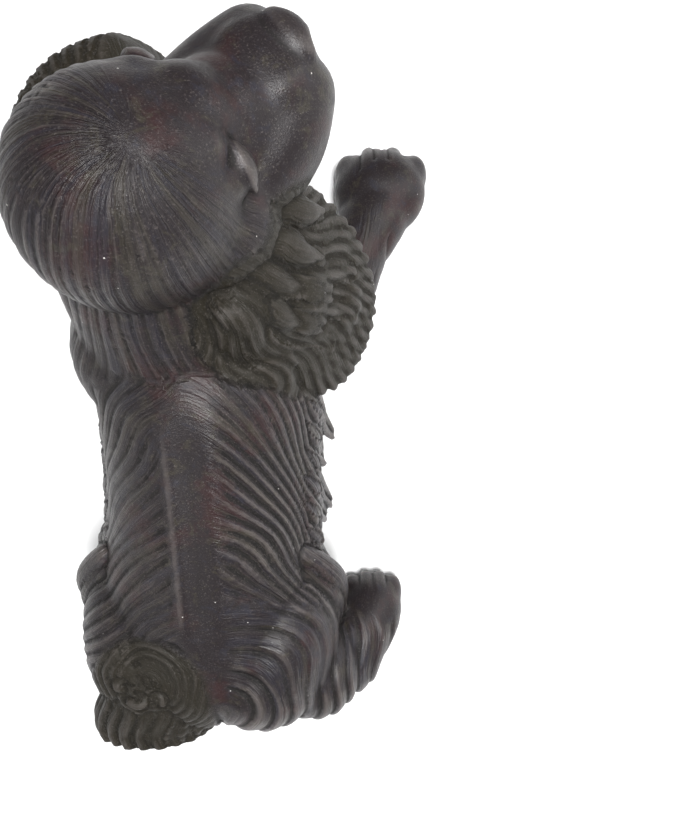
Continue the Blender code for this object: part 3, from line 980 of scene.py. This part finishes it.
# Cast stone, stained nearly black: satin where the stain lies thick, gritty and paler where
# it has worn off the ridges, with olive, rust-red and blue-grey showing through
stain = {
    # deep is the painted shade of the hollows and strand grooves, and also the dark grit
    "deep": "#0f0c0b",
    "body": "#231e20",
    "worn": "#746d6a",
    "olive": "#1e1a0f",
    "tan": "#36322b",
    "rust": "#331f1f",
    "blue": "#262630",
    "pin": "#c9c6c2",
    "gritMm": 0.9,
    "patchMm": 34.0,
    "pinMm": 12.0,
    "roughness": 0.35,
    "specular": 0.36,
}


def stoneMaterial():
    material = bpy.data.materials.new("stained cast stone")
    material.use_nodes = True
    tree = material.node_tree
    shader = tree.nodes["Principled BSDF"]
    where = node(tree, "ShaderNodeTexCoord").outputs["Object"]
    fine, broad, furry, olive = (
        node(tree, "ShaderNodeAttribute", {"attribute_name": name}).outputs["Fac"]
        for name in ("fineHollow", "broadShade", "furry", "olive"))
    strand = node(tree, "ShaderNodeAttribute", {"attribute_name": "strand"}).outputs["Vector"]
    patches, mottle, grit, hairs, streaks = (
        node(tree, "ShaderNodeTexNoise", settings, {"Vector": vector}).outputs["Fac"]
        for vector, settings in (
            (where, {"Scale": 1000.0 / stain["patchMm"], "Detail": 5.0, "Roughness": 0.65}),
            (where, {
                "Scale": 3000.0 / stain["patchMm"],
                "Detail": 5.0,
                "Roughness": 0.7,
                "Distortion": 0.8,
            }),
            (where, {"Scale": 1000.0 / stain["gritMm"], "Detail": 3.0, "Roughness": 0.7}),
            (strand, {"Scale": 1.0, "Detail": 2.0}),
            (strand, {"Scale": 0.28, "Detail": 2.0}),
        ))
    # strands count only where there is hair
    centred = node(tree, "ShaderNodeMath", {"operation": "SUBTRACT", 1: 0.5}, {0: hairs})
    # combed is also the hair bump's height below; its low parts take painted shade
    combed = node(tree, "ShaderNodeMath", {"operation": "MULTIPLY"}, {
        0: centred.outputs["Value"], 1: furry}).outputs["Value"]
    broadly = node(tree, "ShaderNodeMath", {"operation": "SUBTRACT", 1: 0.5}, {0: streaks})
    drawn = node(tree, "ShaderNodeMath", {"operation": "MULTIPLY"}, {
        0: broadly.outputs["Value"], 1: furry}).outputs["Value"]
    pins = node(tree, "ShaderNodeTexVoronoi", {"Scale": 1000.0 / stain["pinMm"]}, {"Vector": where})

    # each layer: what drives it, from and to, how strong it gets, its colour
    colour = None
    for drive, low, high, strength, tint in (
        (patches, 0.50, 0.66, 0.70, "rust"),
        (mottle, 0.54, 0.70, 0.60, "blue"),
        (mottle, 0.47, 0.34, 0.75, "tan"),
        (drawn, 0.02, 0.16, 0.50, "tan"),
        (drawn, -0.04, -0.16, 0.40, "blue"),
        (olive, 0.0, 1.0, 0.85, "olive"),
        # painted shade in the grooves between strands, where the hair bump sinks
        (combed, -0.02, -0.18, 0.45, "deep"),
        (combed, 0.06, 0.22, 0.14, "worn"),
        # painted shade darkens the broad hollows, as ambient occlusion would
        (broad, 0.0, 0.9, 0.75, "deep"),
        # painted shade together with settled stain darkens the fine hollows
        (fine, 0.04, 0.60, 0.90, "deep"),
        (fine, -0.20, -0.95, 0.36, "worn"),
        (olive, 0.0, 1.0, 0.55, "olive"),
        (grit, 0.56, 0.70, 0.30, "worn"),
        (grit, 0.42, 0.32, 0.50, "deep"),
        (pins.outputs["Distance"], 0.035, 0.022, 0.85, "pin"),
    ):
        share = node(tree, "ShaderNodeMapRange", {
            "interpolation_type": "SMOOTHSTEP", 1: low, 2: high, 3: 0.0, 4: strength,
        }, {0: drive}).outputs["Result"]
        layer = node(tree, "ShaderNodeMix", {
            "data_type": "RGBA", 6: hexColour(stain["body"]), 7: hexColour(stain[tint]),
        }, {0: share})
        if colour:
            tree.links.new(colour, layer.inputs[6])
        colour = layer.outputs[2]
    tree.links.new(colour, shader.inputs["Base Color"])

    # satin on the rubbed ridges, dull in the hollows and on the olive hair
    rough = None
    for drive, low, high, least, most in (
        (mottle, 0.3, 0.7, stain["roughness"] - 0.06, stain["roughness"] + 0.12),
        (fine, -0.1, 0.5, 0.0, 0.32),
        (olive, 0.0, 1.0, 0.0, 0.16),
    ):
        share = node(tree, "ShaderNodeMapRange", {
            1: low, 2: high, 3: least, 4: most}, {0: drive}).outputs["Result"]
        if rough:
            share = node(tree, "ShaderNodeMath", {"operation": "ADD"}, {
                0: rough, 1: share}).outputs["Value"]
        rough = share
    tree.links.new(rough, shader.inputs["Roughness"])
    shader.inputs["Specular IOR Level"].default_value = stain["specular"]

    gritBump = node(tree, "ShaderNodeBump", {
        "Strength": 0.45, "Distance": 0.0005}, {"Height": grit})
    hairBump = node(tree, "ShaderNodeBump", {
        "Strength": 0.85, "Distance": 0.0012}, {
        "Height": combed, "Normal": gritBump.outputs["Normal"]})
    tree.links.new(hairBump.outputs["Normal"], shader.inputs["Normal"])
    return material


# Photograph's view: straight down from 457 parts up, over a point beside the near flank
view = {"up": 457.0, "right": 82.0, "lens": 26.5, "sensor": 36.0}


def addCamera():
    data = bpy.data.cameras.new("overhead camera")
    data.sensor_fit = "VERTICAL"
    data.sensor_height = view["sensor"]
    data.lens = view["lens"]
    camera = bpy.data.objects.new("overhead camera", data)
    camera.location = toFrame @ Vector((view["right"], 0.0, view["up"]))
    camera.rotation_euler = (0.0, 0.0, math.pi)
    bpy.context.collection.objects.link(camera)
    bpy.context.scene.camera = camera


# White paper sweep under soft boxes: each one's place, its size in metres and its watts
studio = {
    "floor": "#f6f6f6",
    "air": 0.12,
    "aim": (0.0, 0.0, 0.1),
    "lights": {
        "large soft box": ((-0.27, 0.14, 1.35), 0.40, 26.0),
        "side soft box": ((-1.3, -0.5, 0.8), 0.8, 8.0),
        "back soft box": ((1.0, 0.9, 0.8), 0.8, 4.0),
    },
}


def addFloor():
    floor = bmesh.new()
    bmesh.ops.create_grid(floor, x_segments=1, y_segments=1, size=6.0)
    mesh = bpy.data.meshes.new("studio_floor")
    floor.to_mesh(mesh)
    floor.free()
    piece = bpy.data.objects.new("studio_floor", mesh)
    bpy.context.collection.objects.link(piece)
    material = bpy.data.materials.new("white paper sweep")
    material.use_nodes = True
    shader = material.node_tree.nodes["Principled BSDF"]
    shader.inputs["Base Color"].default_value = hexColour(studio["floor"])
    shader.inputs["Roughness"].default_value = 0.9
    mesh.materials.append(material)


def addLight(name, place, size, watts):
    data = bpy.data.lights.new(name, "AREA")
    data.size = size
    data.energy = watts
    lamp = bpy.data.objects.new(name, data)
    lamp.location = place
    aim = Vector(studio["aim"]) - Vector(place)
    lamp.rotation_euler = aim.to_track_quat("-Z", "Y").to_euler()
    bpy.context.collection.objects.link(lamp)


def addStudio():
    addFloor()
    addCamera()
    for name, (place, size, watts) in studio["lights"].items():
        addLight(name, place, size, watts)
    world = bpy.data.worlds.new("studio air")
    world.use_nodes = True
    air = world.node_tree.nodes["Background"]
    air.inputs["Color"].default_value = (1.0, 1.0, 1.0, 1.0)
    air.inputs["Strength"].default_value = studio["air"]
    bpy.context.scene.world = world
    bpy.context.scene.view_settings.view_transform = "Standard"


spaniel = makeSpaniel()
spaniel.data.materials.clear()
spaniel.data.materials.append(stoneMaterial())
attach(spaniel, "root")
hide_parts("cocker_spaniel")
addStudio()
print("studio lit")
